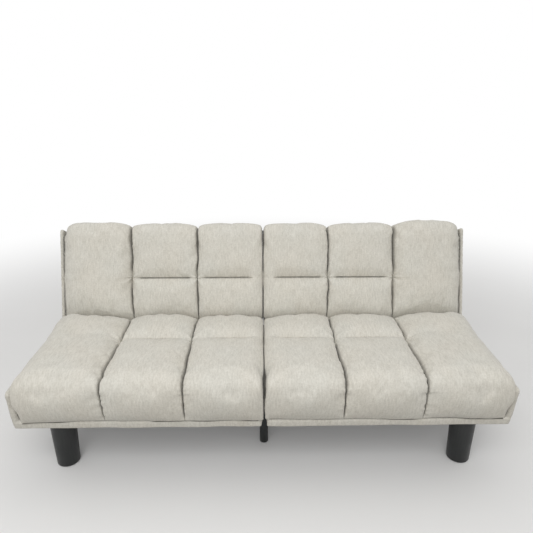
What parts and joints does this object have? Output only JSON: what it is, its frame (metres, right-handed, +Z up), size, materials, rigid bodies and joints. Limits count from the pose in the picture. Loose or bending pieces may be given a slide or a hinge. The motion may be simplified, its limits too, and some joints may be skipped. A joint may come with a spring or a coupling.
{
  "type": "click clack sofa bed",
  "caption": "Armless split click clack sofa bed: channelled seat and back cushions in upright borders, round black legs, and backs that fold down flat on ratchet hinges.",
  "frame": {"origin": "the middle of the sofa's bounding box, on the floor, with both backs raised", "axes": "+X runs across the sofa to the right as seen from its front, +Y from the front edge to the back, +Z up"},
  "size_m": [1.68, 0.7358, 0.7844],
  "materials": {
    "cushion_fabric": "matte",
    "border_fabric": "matte",
    "rear_cover_fabric": "matte",
    "dust_cover_cloth": "matte",
    "rail_timber": "matte",
    "deck_board": "matte",
    "hinge_steel": "satin",
    "pawl_steel": "satin",
    "leg_black": "satin",
    "beam_black": "satin"
  },
  "bodies": {
    "base": {"seat_cushion_right": "cushion_fabric", "seat_border_right": "border_fabric", "seat_hinge_rail_right": "rail_timber", "seat_free_rail_right": "rail_timber", "seat_outer_rail_right": "rail_timber", "seat_inner_rail_right": "rail_timber", "seat_deck_right": "deck_board", "seat_dust_cover_right": "dust_cover_cloth", "seat_rear_leg_board_right": "rail_timber", "seat_front_leg_board_right": "rail_timber", "hinge_seat_plate_outer_right": "hinge_steel", "hinge_seat_plate_inner_right": "hinge_steel", "hinge_pin_outer_right": "hinge_steel", "hinge_pin_inner_right": "hinge_steel", "front_leg_right": "leg_black", "rear_leg_right": "leg_black", "seat_cushion_left": "cushion_fabric", "seat_border_left": "border_fabric", "seat_hinge_rail_left": "rail_timber", "seat_free_rail_left": "rail_timber", "seat_outer_rail_left": "rail_timber", "seat_inner_rail_left": "rail_timber", "seat_deck_left": "deck_board", "seat_dust_cover_left": "dust_cover_cloth", "seat_rear_leg_board_left": "rail_timber", "seat_front_leg_board_left": "rail_timber", "hinge_seat_plate_outer_left": "hinge_steel", "hinge_seat_plate_inner_left": "hinge_steel", "hinge_pin_outer_left": "hinge_steel", "hinge_pin_inner_left": "hinge_steel", "front_leg_left": "leg_black", "rear_leg_left": "leg_black", "centre_beam": "beam_black", "front_centre_leg": "leg_black", "rear_centre_leg": "leg_black"},
    "back_right": {"back_cushion_right": "cushion_fabric", "back_border_right": "border_fabric", "back_hinge_rail_right": "rail_timber", "back_free_rail_right": "rail_timber", "back_outer_rail_right": "rail_timber", "back_inner_rail_right": "rail_timber", "back_deck_right": "deck_board", "back_rear_cover_right": "rear_cover_fabric", "hinge_back_plate_outer_right": "hinge_steel", "hinge_back_plate_inner_right": "hinge_steel"},
    "back_left": {"back_cushion_left": "cushion_fabric", "back_border_left": "border_fabric", "back_hinge_rail_left": "rail_timber", "back_free_rail_left": "rail_timber", "back_outer_rail_left": "rail_timber", "back_inner_rail_left": "rail_timber", "back_deck_left": "deck_board", "back_rear_cover_left": "rear_cover_fabric", "hinge_back_plate_outer_left": "hinge_steel", "hinge_back_plate_inner_left": "hinge_steel"},
    "pawl_right": {"ratchet_pawl_right": "pawl_steel"},
    "pawl_left": {"ratchet_pawl_left": "pawl_steel"}
  },
  "joints": [
    {"name": "recline_right", "type": "hinge", "parent": "base", "child": "back_right", "pos_m": [0.422, 0.16011, 0.352], "axis": [-1, 0, 0], "range_deg": [-6, 73]},
    {"name": "recline_left", "type": "hinge", "parent": "base", "child": "back_left", "pos_m": [-0.422, 0.16011, 0.352], "axis": [-1, 0, 0], "range_deg": [-6, 73]},
    {"name": "pawl_lift_right", "type": "hinge", "parent": "back_right", "child": "pawl_right", "pos_m": [0.8188, 0.19109, 0.37808], "axis": [-1, 0, 0], "range_deg": [0, 12], "stiffness_Nm_per_rad": 0.05, "springref_deg": -20.05},
    {"name": "pawl_lift_left", "type": "hinge", "parent": "back_left", "child": "pawl_left", "pos_m": [-0.8188, 0.19109, 0.37808], "axis": [-1, 0, 0], "range_deg": [0, 12], "stiffness_Nm_per_rad": 0.05, "springref_deg": -20.05}
  ]
}
